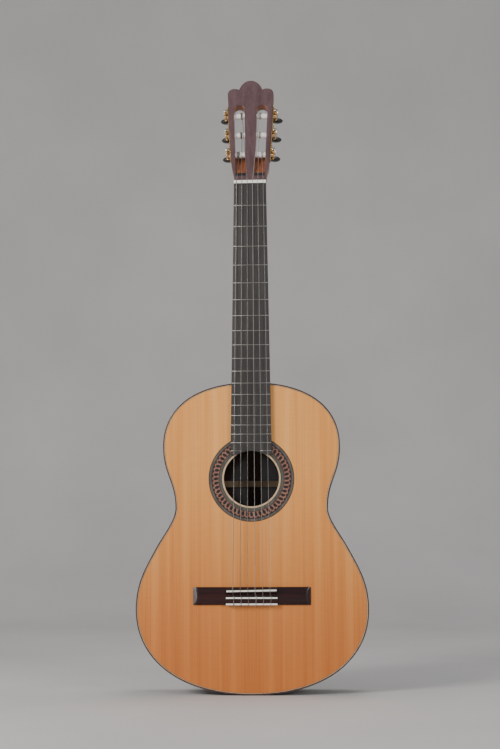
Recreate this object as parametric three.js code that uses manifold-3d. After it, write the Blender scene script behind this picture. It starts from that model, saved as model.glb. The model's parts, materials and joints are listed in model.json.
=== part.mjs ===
// Classical guitar of the small Spanish type, with a slotted head and worm-gear tuners, in millimetres.
// It stands upright: +Z runs up the neck, the soundboard faces -Y, and the bass side is -X.
// The origin is the tail's lowest point, on the centre plane, half way through the body's depth.
import * as THREE from "three";
import { mergeVertices } from "three/addons/utils/BufferGeometryUtils.js";
import Module from "manifold-3d";

const wasm = await Module();
wasm.setup();

// ---- Driving dimensions ----
const GAP = 0.3; // glued faces stay this far apart
const SCALE_LENGTH = 650;
const BODY_LENGTH = 493;
const BODY_DEPTH = 96;
const FACE = -BODY_DEPTH / 2; // outer face of the soundboard
const BACK_FACE = BODY_DEPTH / 2;
const SOUNDBOARD_THICK = 2.5;
const BACK_THICK = 2.8;
const RIB_THICK = 2.2;
const BINDING_DEEP = 6;
const LINING_WIDE = 6;
const LINING_DEEP = 14;
const PLATE_INSET = RIB_THICK + GAP;
const LINING_INSET = PLATE_INSET + LINING_WIDE;

const HOLE_Z = 339;
const HOLE_RADIUS = 44;
const ROSETTE_INNER = 48;
const ROSETTE_OUTER = 68.2;
const ROSETTE_DEEP = 1.1;

const NUT_Z = 816; // edge of the nut where the scale starts
const NUT_THICK = 5.2;
const NUT_HALF_WIDTH = 26;
const JOINT_HALF_WIDTH = 31; // half the neck's width at the body
const JOINT_Z = NUT_Z - SCALE_LENGTH / 2;
const BOARD_THICK = 6.7;
const BOARD_FACE = FACE - GAP - BOARD_THICK;
const FRET_COUNT = 19;
const FRET_HIGH = 1.1;
const FRET_WIDE = 2.3;

const SADDLE_Z = NUT_Z - SCALE_LENGTH - 3.4;
const SADDLE_SLANT = THREE.MathUtils.degToRad(-1);
const STRING_RADII = [0.355, 0.41, 0.515, 0.37, 0.445, 0.545]; // thin treble to thick bass
const STRING_STEP_NUT = 8.6;
const STRING_STEP_BRIDGE = 11.7;
const STRING_Y_NUT = -57.05;
const STRING_Y_SADDLE = -62.4;

const HEAD_TILT = THREE.MathUtils.degToRad(12);
const HEAD_THICK = 20;
const VENEER_THICK = 2.7;
const HEAD_FOOT_HALF = 28.73; // half width of the head's straight sides, carried down to the nut
const HEAD_FLARE = Math.atan(0.0598);

const TUNER_HEIGHTS = [50, 85.5, 120.5]; // roller axes, up the head from the nut
const ROLLER_DEEP = 9.75; // roller axis behind the head's face
const ROLLER_RADIUS = 4.75;
const ROLLER_LONG = 29;
const AXLE_RADIUS = 2.6;
const GEAR_TEETH = 16;
const GEAR_RADIUS = 6; // pitch radius
const GEAR_FACE = 3;
const WORM_RADIUS = 2.6; // pitch radius
const WORM_CORE = 1.8;
const WORM_OUT = 5.6; // worm axis outside the head's side
const WORM_PITCH = (2 * Math.PI * GEAR_RADIUS) / GEAR_TEETH;
const BUTTON_FRONT = 33.3;

// ---- Shapes, solids and meshes ----
const v2 = (x, y) => new THREE.Vector2(x, y);
const v3 = (x, y, z) => new THREE.Vector3(x, y, z);

// A closed geometry as a solid that can be joined and cut.
function solid(geometry) {
  const bare = geometry.clone();
  bare.deleteAttribute("normal");
  bare.deleteAttribute("uv");
  const merged = mergeVertices(bare, 1e-4);
  const vertProperties = merged.attributes.position.array;
  const triVerts = new Uint32Array(merged.index.array);
  return new wasm.Manifold(new wasm.Mesh({ numProp: 3, vertProperties, triVerts }));
}

// A solid back as a geometry.
function geometryOf(body) {
  const { vertProperties, triVerts } = body.getMesh();
  const geometry = new THREE.BufferGeometry();
  geometry.setAttribute("position", new THREE.BufferAttribute(vertProperties, 3));
  geometry.setIndex(new THREE.BufferAttribute(triVerts, 1));
  geometry.computeVertexNormals();
  return geometry;
}

// A front view, in X and Z, made into a slab between two depths.
function slab(shape, front, back, curveSegments = 12) {
  const flat = new THREE.ExtrudeGeometry(shape, {
    depth: back - front,
    bevelEnabled: false,
    curveSegments,
  });
  return flat.rotateX(Math.PI / 2).translate(0, back, 0);
}

// A side view, in Y and Z, made into a slab from one X to another.
function sideSlab(shape, left, right, curveSegments = 10) {
  const flat = new THREE.ExtrudeGeometry(shape, {
    depth: right - left,
    bevelEnabled: false,
    curveSegments,
  });
  const turn = new THREE.Matrix4().makeBasis(v3(0, 1, 0), v3(0, 0, 1), v3(1, 0, 0));
  return flat.applyMatrix4(turn).translate(left, 0, 0);
}

// A section in X and Y, made into a bar between two heights.
function bar(shape, bottom, top, curveSegments = 10) {
  const flat = new THREE.ExtrudeGeometry(shape, {
    depth: top - bottom,
    bevelEnabled: false,
    curveSegments,
  });
  return flat.translate(0, 0, bottom);
}

// A box between two corners.
function block(low, high) {
  const size = high.map((value, i) => value - low[i]);
  const centre = high.map((value, i) => (value + low[i]) / 2);
  return new THREE.BoxGeometry(...size).translate(...centre);
}

const polygon = (pairs) => new THREE.Shape(pairs.map(([a, b]) => v2(a, b)));

// A closed outline from its right half, which runs from the bottom of the centre line to its top.
function mirrored(rightHalf) {
  const leftHalf = rightHalf
    .filter((point) => point.x > 1e-6)
    .map((point) => v2(-point.x, point.y))
    .reverse();
  return [...rightHalf, ...leftHalf];
}

const guitar = new THREE.Group();
guitar.name = "classical_guitar";

function material(color, roughness, metalness = 0) {
  return new THREE.MeshStandardMaterial({ color, roughness, metalness });
}

const spruce = material(0xcd9a62, 0.35);
const rosewood = material(0x4a2d24, 0.35);
const ebony = material(0x2c2826, 0.45);
const cedar = material(0xa8683a, 0.45);
const innerSpruce = material(0xd2b184, 0.75);
const bone = material(0xe9e2d4, 0.4);
const mosaic = material(0x7d6a58, 0.4);
const nylon = material(0xe6e2d6, 0.25);
const woundSilver = material(0xb9b4a8, 0.3, 0.9);
const brass = material(0xb98f4c, 0.3, 0.95);
const steel = material(0xb8b8ba, 0.3, 0.95);
const black = material(0x141414, 0.3);

function add(name, geometry, finish, parent = guitar) {
  const mesh = new THREE.Mesh(geometry, finish);
  mesh.name = name;
  parent.add(mesh);
  return mesh;
}

// ---- Body ----
// Right half of the outline, from the tail by the lower bout, waist and upper bout to the neck.
const bodyHalf = new THREE.Path();
bodyHalf.moveTo(0, 0);
bodyHalf.bezierCurveTo(122, 0, 184.4, 60, 184.4, 133);
bodyHalf.bezierCurveTo(184.4, 173, 171.5, 195, 152.8, 229);
bodyHalf.bezierCurveTo(139.4, 253.6, 121.3, 274, 121.3, 293);
bodyHalf.bezierCurveTo(121.3, 335, 141.4, 347, 141.4, 391);
bodyHalf.bezierCurveTo(141.4, 456, 87, BODY_LENGTH, 0, BODY_LENGTH);
const STEPS_PER_CURVE = 6;

// The body's outline moved inwards by an inset, as points of its right half.
function insetHalf(inset) {
  return bodyHalf.curves.flatMap((curve, c) => {
    const last = c === bodyHalf.curves.length - 1 ? 1 : 0;
    return Array.from({ length: STEPS_PER_CURVE + last }, (_, i) => {
      const along = curve.getTangent(i / STEPS_PER_CURVE);
      return curve.getPoint(i / STEPS_PER_CURVE).add(v2(-along.y, along.x).multiplyScalar(inset));
    });
  });
}

const bodyShape = (inset) => new THREE.Shape(mirrored(insetHalf(inset)));

function bodyRing(outerInset, innerInset) {
  const shape = bodyShape(outerInset);
  shape.holes.push(new THREE.Path(mirrored(insetHalf(innerInset))));
  return shape;
}

// Half the body's width at a height, measured to an inset outline.
function halfWidth(z, inset) {
  const points = insetHalf(inset);
  const i = points.findIndex((point, k) => k > 0 && point.y >= z);
  const [low, high] = [points[i - 1], points[i]];
  return THREE.MathUtils.mapLinear(z, low.y, high.y, low.x, high.x);
}

function circle(radius, x = 0, z = 0) {
  return new THREE.Path().absarc(x, z, radius, 0, 2 * Math.PI);
}

function circleRing(outer, inner, x, z) {
  const shape = new THREE.Shape().absarc(x, z, outer, 0, 2 * Math.PI);
  shape.holes.push(circle(inner, x, z));
  return shape;
}

const FINE = 16; // curve segments of the soundhole and rosette
const CORE_HALF = 8.7; // half width of the neck's tongue where the ribs end against it
const INLAY_HALF = 5; // half width of the strip over the ribs' seam at the tail
const bindingInner = FACE + BINDING_DEEP;

function buildBody() {
  const boardShape = bodyShape(PLATE_INSET);
  boardShape.holes.push(circle(HOLE_RADIUS, 0, HOLE_Z));
  const channel = circleRing(ROSETTE_OUTER + GAP, ROSETTE_INNER - GAP, 0, HOLE_Z);
  const channelFloor = FACE + ROSETTE_DEEP + GAP;
  const board = solid(slab(boardShape, FACE, FACE + SOUNDBOARD_THICK, FINE));
  const cutBoard = board.subtract(solid(slab(channel, FACE - 1, channelFloor, FINE)));
  add("soundboard", geometryOf(cutBoard), spruce);

  const rosette = circleRing(ROSETTE_OUTER, ROSETTE_INNER, 0, HOLE_Z);
  add("rosette", slab(rosette, FACE, FACE + ROSETTE_DEEP, FINE), mosaic);
  add("back", slab(bodyShape(PLATE_INSET), BACK_FACE - BACK_THICK, BACK_FACE), rosewood);

  const ribRing = solid(slab(bodyRing(0, RIB_THICK), bindingInner + GAP, -bindingInner - GAP));
  const rightSide = solid(block([INLAY_HALF + GAP, -60, -5], [200, 60, 500]));
  const neckSlot = solid(block([-CORE_HALF - GAP, -60, 480], [CORE_HALF + GAP, 60, 500]));
  const rib = geometryOf(ribRing.intersect(rightSide).subtract(neckSlot));
  add("rib_treble", rib, rosewood);
  add("rib_bass", rib, rosewood).scale.x = -1;
  const tail = solid(block([-INLAY_HALF, -60, -5], [INLAY_HALF, 60, 10]));
  add("tail_inlay", geometryOf(ribRing.intersect(tail)), rosewood);

  add("binding_top", slab(bodyRing(0, RIB_THICK), FACE, bindingInner), rosewood);
  add("binding_back", slab(bodyRing(0, RIB_THICK), -bindingInner, BACK_FACE), rosewood);
}

const LINING_TOP = [FACE + SOUNDBOARD_THICK + GAP, FACE + SOUNDBOARD_THICK + GAP + LINING_DEEP];
const LINING_BACK = [BACK_FACE - BACK_THICK - GAP - LINING_DEEP, BACK_FACE - BACK_THICK - GAP];
const FOOT_HALF = 35; // half width of the neck's foot inside the body
const FOOT_BOTTOM = 462;
const STRIP_HALF = 10;
const STRIP_THICK = 2;
const BRACE_DEEP = 13;

// A brace across the body, lying on one plate and thinned at both ends.
function crossBrace(z, thick, plateY, depth, notch) {
  const edges = [z - thick / 2, z + thick / 2];
  const half = Math.min(...edges.map((edge) => halfWidth(edge, LINING_INSET))) - 1;
  const endY = plateY + 0.3 * depth;
  const notchY = plateY + Math.sign(depth) * (STRIP_THICK + GAP);
  const notchHalf = STRIP_HALF + GAP;
  const notchPoints = [
    [notchHalf, plateY],
    [notchHalf, notchY],
    [-notchHalf, notchY],
    [-notchHalf, plateY],
  ];
  const section = polygon([
    [-half, plateY],
    [-half, endY],
    [-half + 28, plateY + depth],
    [half - 28, plateY + depth],
    [half, endY],
    [half, plateY],
    ...(notch ? notchPoints : []),
  ]);
  return bar(section, z - thick / 2, z + thick / 2);
}

function buildInside() {
  const footCut = solid(block([-FOOT_HALF - GAP, -60, FOOT_BOTTOM - 5], [FOOT_HALF + GAP, 60, 500]));
  const liningRing = bodyRing(PLATE_INSET, LINING_INSET);
  const liningTop = solid(slab(liningRing, ...LINING_TOP)).subtract(footCut);
  const liningBack = solid(slab(liningRing, ...LINING_BACK)).subtract(footCut);
  add("lining_top", geometryOf(liningTop), innerSpruce);
  add("lining_back", geometryOf(liningBack), innerSpruce);

  const clearRing = bodyRing(PLATE_INSET - 1, LINING_INSET + GAP);
  const tailBox = solid(block([-36, LINING_TOP[0], -5], [36, LINING_BACK[1], 22]));
  const tailBlock = solid(slab(bodyShape(PLATE_INSET), LINING_TOP[0], LINING_BACK[1]))
    .intersect(tailBox)
    .subtract(solid(slab(clearRing, LINING_TOP[0] - 1, LINING_TOP[1] + GAP)))
    .subtract(solid(slab(clearRing, LINING_BACK[0] - GAP, LINING_BACK[1] + 1)));
  add("tail_block", geometryOf(tailBlock), cedar);

  const topPlate = LINING_TOP[0];
  add("harmonic_bar_upper", crossBrace(400, 6, topPlate, 16, false), innerSpruce);
  add("harmonic_bar_lower", crossBrace(280, 6, topPlate, 16, false), innerSpruce);
  const patch = circleRing(52, HOLE_RADIUS + 1, 0, HOLE_Z);
  add("soundhole_patch", slab(patch, topPlate, topPlate + 1.5, FINE), innerSpruce);

  // Seven fan struts under the lower bout, joined by the thin patch under the bridge.
  let fan = solid(block([-75, topPlate, 137], [75, topPlate + 1.5, 171]));
  for (let strut = -3; strut <= 3; strut++) {
    const foot = v3(strut * 30, 0, 58 + strut * strut);
    const head = v3(strut * 13, 0, 270);
    const length = foot.distanceTo(head);
    const lean = Math.atan2(head.x - foot.x, head.z - foot.z);
    const stick = block([-2.5, topPlate, 0], [2.5, topPlate + 5, length]);
    fan = fan.add(solid(stick.rotateY(lean).translate(foot.x, 0, foot.z)));
  }
  add("fan_bracing", geometryOf(fan), innerSpruce);

  const backPlate = LINING_BACK[1];
  const braceHeights = { lower: 130, middle: 333, upper: 425 };
  for (const [place, z] of Object.entries(braceHeights)) {
    add(`back_brace_${place}`, crossBrace(z, 10, backPlate, -BRACE_DEEP, true), innerSpruce);
  }
  const strip = block([-STRIP_HALF, backPlate - STRIP_THICK, 25], [STRIP_HALF, backPlate, 458]);
  add("back_centre_strip", strip, innerSpruce);
}

// ---- Bridge ----
const BRIDGE_BOTTOM = 140.3;
const BRIDGE_TOP = 168.2;
const BRIDGE_HALF = 93;
const BLOCK_HALF = 40.5; // half width of the bridge's raised middle
const TIE_TOP_Y = -56.4;
const TIE_FRONT_Z = 152.6;
const STRING_HOLE_Y = -54;
const SADDLE_THICK = 2.5;
const SADDLE_TOP_Y = -61.4;
const SADDLE_FOOT_Y = -50.3;

const bridgeX = (index) => STRING_STEP_BRIDGE * (2.5 - index);
const nutX = (index) => STRING_STEP_NUT * (2.5 - index);

function buildBridge() {
  const seat = FACE - GAP;
  const wing = polygon([
    [seat, BRIDGE_BOTTOM],
    [-50.6, BRIDGE_BOTTOM],
    [-52.6, BRIDGE_BOTTOM + 6],
    [-53.2, 154],
    [-52.6, BRIDGE_TOP - 6],
    [-50.6, BRIDGE_TOP],
    [seat, BRIDGE_TOP],
  ]);
  const middle = polygon([
    [seat, BRIDGE_BOTTOM],
    [TIE_TOP_Y, BRIDGE_BOTTOM],
    [TIE_TOP_Y, TIE_FRONT_Z],
    [-52.4, TIE_FRONT_Z],
    [-52.4, 157.6],
    [-56.8, 159],
    [-57.2, 165],
    [-54, BRIDGE_TOP],
    [seat, BRIDGE_TOP],
  ]);
  let bridge = solid(sideSlab(wing, -BRIDGE_HALF, BRIDGE_HALF));
  bridge = bridge.add(solid(sideSlab(middle, -BLOCK_HALF, BLOCK_HALF)));
  const slotHalf = SADDLE_THICK / 2 + GAP;
  const slot = block([-BLOCK_HALF - 1, -70, -slotHalf], [BLOCK_HALF + 1, SADDLE_FOOT_Y + GAP, slotHalf]);
  bridge = bridge.subtract(solid(slot.rotateY(SADDLE_SLANT).translate(0, 0, SADDLE_Z)));
  STRING_RADII.forEach((radius, index) => {
    const bore = new THREE.CylinderGeometry(radius + 0.45, radius + 0.45, 20, 8).rotateX(Math.PI / 2);
    bridge = bridge.subtract(solid(bore.translate(bridgeX(index), STRING_HOLE_Y, 147)));
  });
  add("bridge", geometryOf(bridge), rosewood);

  const blade = [-39.5, SADDLE_TOP_Y, -SADDLE_THICK / 2];
  const saddle = add("saddle", block(blade, [39.5, SADDLE_FOOT_Y, SADDLE_THICK / 2]), bone);
  saddle.rotation.y = SADDLE_SLANT;
  saddle.position.z = SADDLE_Z;
  const inlayY = [TIE_TOP_Y - GAP - 0.9, TIE_TOP_Y - GAP];
  const inlay = (low, high) => block([-BLOCK_HALF, inlayY[0], low], [BLOCK_HALF, inlayY[1], high]);
  add("tie_inlay_front", inlay(TIE_FRONT_Z - 2.5, TIE_FRONT_Z), bone);
  add("tie_inlay_rear", inlay(BRIDGE_BOTTOM, BRIDGE_BOTTOM + 2.5), bone);
}

// ---- Neck, fretboard and head ----
// The head's own frame: X as the guitar's, Y into the head from its face, Z up its face from the nut.
const head = new THREE.Group();
head.position.set(0, FACE - 2, NUT_Z + 5);
head.rotation.x = -HEAD_TILT;
guitar.add(head);

// The treble side's frame: X out of the head's side, Y as the head's, Z up along that side.
const trebleSide = new THREE.Group();
trebleSide.position.x = HEAD_FOOT_HALF;
trebleSide.rotation.y = HEAD_FLARE;
head.add(trebleSide);

// The bass side is its mirror image.
const bassMirror = new THREE.Group();
bassMirror.scale.x = -1;
head.add(bassMirror);
const bassSide = trebleSide.clone();
bassMirror.add(bassSide);
guitar.updateMatrixWorld(true);

// Right half of the head's outline, from the nut up to the crest.
function headHalf(foot) {
  const half = new THREE.Path();
  half.moveTo(26.2, foot);
  half.lineTo(26.5, 8);
  half.bezierCurveTo(27, 18, 29.2, 19, 30.4, 28);
  half.lineTo(38, 155);
  half.bezierCurveTo(38.6, 166, 31, 168, 26, 167.6);
  half.quadraticCurveTo(21.5, 167.4, 19.2, 164.8);
  half.quadraticCurveTo(17.6, 167.5, 17.2, 170.5);
  half.bezierCurveTo(16.4, 177.5, 9, 182.5, 0, 182.5);
  return half.getPoints(6);
}
const headShape = (foot) => new THREE.Shape(mirrored(headHalf(foot)));

const RAMP_START = 9.5;
const RAMP_SLOPE = Math.tan(THREE.MathUtils.degToRad(23.5));
const BORE_RADIUS = ROLLER_RADIUS + GAP;

// Both string slots with their ramps, in the head's frame.
function headSlots() {
  const slot = new THREE.Shape();
  slot.moveTo(7.2, RAMP_START);
  slot.lineTo(23.3, RAMP_START);
  slot.lineTo(27.8, 129);
  slot.absarc(18.9, 129, 8.9, 0, Math.PI);
  slot.closePath();
  const deep = HEAD_THICK + 4;
  const ramp = polygon([
    [0, RAMP_START],
    [deep, RAMP_START],
    [deep, RAMP_START + deep / RAMP_SLOPE],
  ]);
  const right = solid(slab(slot, -2, deep, 6)).subtract(solid(sideSlab(ramp, 0, 40)));
  return right.add(mirrorX(right));
}

// A solid's mirror image across the centre plane.
function mirrorX(body) {
  const geometry = geometryOf(body).scale(-1, 1, 1);
  const index = geometry.index.array;
  for (let i = 0; i < index.length; i += 3) [index[i], index[i + 1]] = [index[i + 1], index[i]];
  return solid(geometry);
}

// The roller bores of both sides, in the head's frame.
function rollerBores() {
  const bores = TUNER_HEIGHTS.map((height) => {
    const bore = new THREE.CylinderGeometry(BORE_RADIUS, BORE_RADIUS, ROLLER_LONG + 3, 12);
    bore.rotateZ(-Math.PI / 2).translate(-ROLLER_LONG / 2 + 0.9, ROLLER_DEEP, height);
    return solid(bore.applyMatrix4(trebleSide.matrix));
  });
  const right = bores.reduce((all, one) => all.add(one));
  return right.add(mirrorX(right));
}

// Half the width of the neck and fretboard at a height.
const boardHalf = (z) =>
  THREE.MathUtils.mapLinear(z, NUT_Z, JOINT_Z, NUT_HALF_WIDTH, JOINT_HALF_WIDTH);

const SHAFT_TOP = NUT_Z + 4.2;
const SHAFT_THICK = 16; // neck under the fretboard, at the nut
const HEEL_BACK = BACK_FACE - 3 - GAP;
const HEEL_TIP_Z = 513;

// The neck's shaft: one D section, widened and deepened towards the body.
function neckShaft() {
  const section = new THREE.Shape();
  section.moveTo(-NUT_HALF_WIDTH, 0);
  section.lineTo(NUT_HALF_WIDTH, 0);
  section.lineTo(NUT_HALF_WIDTH, 1.5);
  section.absellipse(0, 1.5, NUT_HALF_WIDTH, SHAFT_THICK - 1.5, 0, Math.PI);
  section.closePath();
  const shaft = bar(section, 480, SHAFT_TOP, 10);
  const place = shaft.attributes.position;
  const deepen = 3 / (NUT_Z - JOINT_Z) / SHAFT_THICK;
  for (let i = 0; i < place.count; i++) {
    const down = NUT_Z - place.getZ(i);
    place.setX(i, (place.getX(i) * boardHalf(place.getZ(i))) / NUT_HALF_WIDTH);
    place.setY(i, FACE + place.getY(i) * (1 + deepen * down));
  }
  return shaft;
}

// The heel: its plan, seen along the neck, cut to its curved side view.
function heel() {
  const plan = new THREE.Shape();
  plan.moveTo(-JOINT_HALF_WIDTH, FACE);
  plan.lineTo(JOINT_HALF_WIDTH, FACE);
  plan.bezierCurveTo(JOINT_HALF_WIDTH, -24, 15, -8, 12.5, HEEL_BACK);
  plan.lineTo(-12.5, HEEL_BACK);
  plan.bezierCurveTo(-15, -8, -JOINT_HALF_WIDTH, -24, -JOINT_HALF_WIDTH, FACE);
  const side = new THREE.Shape();
  side.moveTo(FACE, 480);
  side.lineTo(HEEL_BACK, 480);
  side.lineTo(HEEL_BACK, HEEL_TIP_Z);
  side.bezierCurveTo(20, 526, -30, 530, FACE + 10, 600);
  side.lineTo(FACE, 600);
  side.closePath();
  const plug = bar(plan, 480, 600);
  const place = plug.attributes.position;
  for (let i = 0; i < place.count; i++) {
    place.setX(i, (place.getX(i) * boardHalf(place.getZ(i))) / JOINT_HALF_WIDTH);
  }
  return solid(plug).intersect(solid(sideSlab(side, -40, 40)));
}

function buildNeck() {
  const bodySpace = solid(slab(bodyShape(-GAP), -60, 60));
  const core = solid(slab(headShape(0), VENEER_THICK + GAP, HEAD_THICK));
  const cutCore = core.subtract(headSlots()).subtract(rollerBores());
  const headCore = solid(geometryOf(cutCore).applyMatrix4(head.matrix));
  const tongue = block([-CORE_HALF, bindingInner + GAP, 478], [CORE_HALF, -bindingInner - GAP, 500]);
  const footBox = block([-FOOT_HALF, -60, FOOT_BOTTOM], [FOOT_HALF, 60, 500]);
  const foot = solid(slab(bodyShape(PLATE_INSET), LINING_TOP[0], LINING_BACK[1]));
  const neck = solid(neckShaft())
    .add(heel())
    .subtract(bodySpace)
    .add(solid(tongue))
    .add(foot.intersect(solid(footBox)))
    .add(headCore);
  add("neck", geometryOf(neck), cedar);

  const cap = new THREE.Shape();
  cap.moveTo(-12.5, 485);
  cap.lineTo(12.5, 485);
  cap.bezierCurveTo(12.5, 505, 8, HEEL_TIP_Z, 0, HEEL_TIP_Z);
  cap.bezierCurveTo(-8, HEEL_TIP_Z, -12.5, 505, -12.5, 485);
  const heelCap = solid(slab(cap, HEEL_BACK + GAP, BACK_FACE)).subtract(bodySpace);
  add("heel_cap", geometryOf(heelCap), rosewood);

  const veneer = solid(slab(headShape(0.9), 0, VENEER_THICK)).subtract(headSlots());
  add("head_veneer", geometryOf(veneer), rosewood, head);

  const nut = polygon([
    [FACE - GAP, NUT_Z],
    [-56.2, NUT_Z],
    [-56.2, NUT_Z + 2.5],
    [-54.8, NUT_Z + NUT_THICK],
    [FACE - GAP, NUT_Z + NUT_THICK],
  ]);
  add("nut", sideSlab(nut, -NUT_HALF_WIDTH, NUT_HALF_WIDTH), bone);
}

const FRETBOARD_END = 377;
const END_ARC = 46; // the fretboard's end follows a circle about the soundhole's centre

function buildFretboard() {
  const end = boardHalf(FRETBOARD_END);
  const corner = Math.acos((FRETBOARD_END - HOLE_Z) / END_ARC);
  const upright = Math.PI / 2;
  const shape = new THREE.Shape();
  shape.moveTo(end, FRETBOARD_END);
  shape.lineTo(NUT_HALF_WIDTH, NUT_Z - GAP);
  shape.lineTo(-NUT_HALF_WIDTH, NUT_Z - GAP);
  shape.lineTo(-end, FRETBOARD_END);
  shape.absarc(0, HOLE_Z, END_ARC, upright + corner, upright - corner, true);
  shape.closePath();
  let board = solid(slab(shape, BOARD_FACE, FACE - GAP, 12));
  const crown = polygon([
    [BOARD_FACE + 1, -FRET_WIDE / 2],
    [BOARD_FACE - 0.3, -FRET_WIDE / 2],
    [BOARD_FACE - FRET_HIGH, -0.5],
    [BOARD_FACE - FRET_HIGH, 0.5],
    [BOARD_FACE - 0.3, FRET_WIDE / 2],
    [BOARD_FACE + 1, FRET_WIDE / 2],
  ]);
  for (let fret = 1; fret <= FRET_COUNT; fret++) {
    const z = NUT_Z - SCALE_LENGTH * (1 - 2 ** (-fret / 12));
    const half = boardHalf(z) - 0.2;
    board = board.add(solid(sideSlab(crown, -half, half).translate(0, 0, z)));
  }
  const opening = circleRing(END_ARC, 1, 0, HOLE_Z);
  board = board.subtract(solid(slab(opening, -70, FACE, 12)));
  add("fretboard", geometryOf(board), ebony);
}

// ---- Tuners ----
// The worm thread's centre line. Its frames keep the section's first axis pointing away from the core.
class Helix extends THREE.Curve {
  constructor(radius, pitch, turns) {
    super();
    Object.assign(this, { radius, pitch, turns });
  }
  angleAt(t) {
    return Math.PI + (t - 0.5) * this.turns * 2 * Math.PI;
  }
  getPoint(t, target = v3(0, 0, 0)) {
    const angle = this.angleAt(t);
    const y = (this.pitch * (angle - Math.PI)) / (2 * Math.PI);
    return target.set(this.radius * Math.sin(angle), y, this.radius * Math.cos(angle));
  }
  computeFrenetFrames(steps) {
    const frames = { tangents: [], normals: [], binormals: [] };
    for (let i = 0; i <= steps; i++) {
      const angle = this.angleAt(i / steps);
      const out = v3(Math.sin(angle), 0, Math.cos(angle));
      const along = this.getTangent(i / steps);
      frames.tangents.push(along);
      frames.normals.push(out);
      frames.binormals.push(along.clone().cross(out));
    }
    return frames;
  }
}

const THREAD_TURNS = 2.8;
const THREAD_STEPS = 8; // per turn

function wormShaft() {
  const profile = [
    [0, 1.2],
    [2.5, 1.2],
    [2.5, 2.3],
    [WORM_CORE, 2.3],
    [WORM_CORE, BUTTON_FRONT - GAP],
    [0, BUTTON_FRONT - GAP],
  ].map(([radius, y]) => v2(radius, y));
  const core = solid(new THREE.LatheGeometry(profile, 8));
  const ridge = polygon([
    [1.55 - WORM_RADIUS, -0.7],
    [3.15 - WORM_RADIUS, -0.24],
    [3.15 - WORM_RADIUS, 0.24],
    [1.55 - WORM_RADIUS, 0.7],
  ]);
  const thread = new THREE.ExtrudeGeometry(ridge, {
    steps: Math.round(THREAD_TURNS * THREAD_STEPS),
    extrudePath: new Helix(WORM_RADIUS, WORM_PITCH, THREAD_TURNS),
  });
  return geometryOf(core.add(solid(thread.translate(0, ROLLER_DEEP, 0))));
}

// The gear's teeth lean to follow the worm's thread.
function gear() {
  const outline = [];
  for (let tooth = 0; tooth < GEAR_TEETH; tooth++) {
    const middle = ((tooth + 0.5) * 2 * Math.PI) / GEAR_TEETH;
    const corners = [
      [5.1, -0.122],
      [6.45, -0.039],
      [6.45, 0.039],
      [5.1, 0.122],
    ];
    for (const [radius, turn] of corners) {
      outline.push(v2(radius * Math.sin(middle + turn), radius * Math.cos(middle + turn)));
    }
  }
  const teeth = sideSlab(new THREE.Shape(outline), -GEAR_FACE / 2, GEAR_FACE / 2);
  const place = teeth.attributes.position;
  const lean = WORM_PITCH / (2 * Math.PI * WORM_RADIUS) / GEAR_RADIUS;
  for (let i = 0; i < place.count; i++) {
    const at = v3(place.getX(i), place.getY(i), place.getZ(i));
    at.applyAxisAngle(v3(1, 0, 0), lean * at.x);
    place.setXYZ(i, at.x, at.y, at.z);
  }
  return teeth;
}

function roller() {
  const profile = [
    [0, -ROLLER_LONG],
    [ROLLER_RADIUS, -ROLLER_LONG],
    [ROLLER_RADIUS, -GAP],
    [AXLE_RADIUS, -GAP],
    [AXLE_RADIUS, WORM_OUT - GEAR_FACE / 2 - GAP],
    [0, WORM_OUT - GEAR_FACE / 2 - GAP],
  ].map(([radius, x]) => v2(radius, x));
  return new THREE.LatheGeometry(profile, 14).rotateZ(-Math.PI / 2);
}

function button() {
  const profile = [
    [0, 0],
    [4, 0],
    [4.6, 1.6],
    [8.8, 3.6],
    [10, 7],
    [9, 11],
    [5.5, 13.6],
    [0, 14],
  ].map(([radius, y]) => v2(radius, y));
  return new THREE.LatheGeometry(profile, 14).scale(1, 1, 0.45).translate(0, BUTTON_FRONT, 0);
}

const PLATE_OUT = [GAP, GAP + 1.4];
const EAR_THICK = 1.8;
const EAR_FRONTS = [2.6, 15.1];
const WORM_RISE = GEAR_RADIUS + WORM_RADIUS; // worm axis above the roller's

// A side plate with its axle holes and two ears round each worm.
function tunerPlate() {
  const strip = new THREE.Shape();
  strip.absarc(14, 42, 4, -Math.PI / 2, 0);
  strip.absarc(14, 134, 4, 0, Math.PI / 2);
  strip.absarc(6, 134, 4, Math.PI / 2, Math.PI);
  strip.absarc(6, 42, 4, Math.PI, 1.5 * Math.PI);
  TUNER_HEIGHTS.forEach((height) => {
    strip.holes.push(circle(AXLE_RADIUS + GAP, ROLLER_DEEP, height));
  });
  let plate = solid(sideSlab(strip, ...PLATE_OUT, 5));
  for (const height of TUNER_HEIGHTS) {
    const worm = height + WORM_RISE;
    const ear = new THREE.Shape();
    ear.absarc(WORM_OUT, worm, 3, -Math.PI / 2, Math.PI / 2);
    ear.lineTo(PLATE_OUT[0] + 0.5, worm + 3);
    ear.lineTo(PLATE_OUT[0] + 0.5, worm - 3);
    ear.closePath();
    ear.holes.push(circle(WORM_CORE + 0.5, WORM_OUT, worm));
    for (const front of EAR_FRONTS) plate = plate.add(solid(slab(ear, front, front + EAR_THICK, 4)));
  }
  return geometryOf(plate);
}

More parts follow.
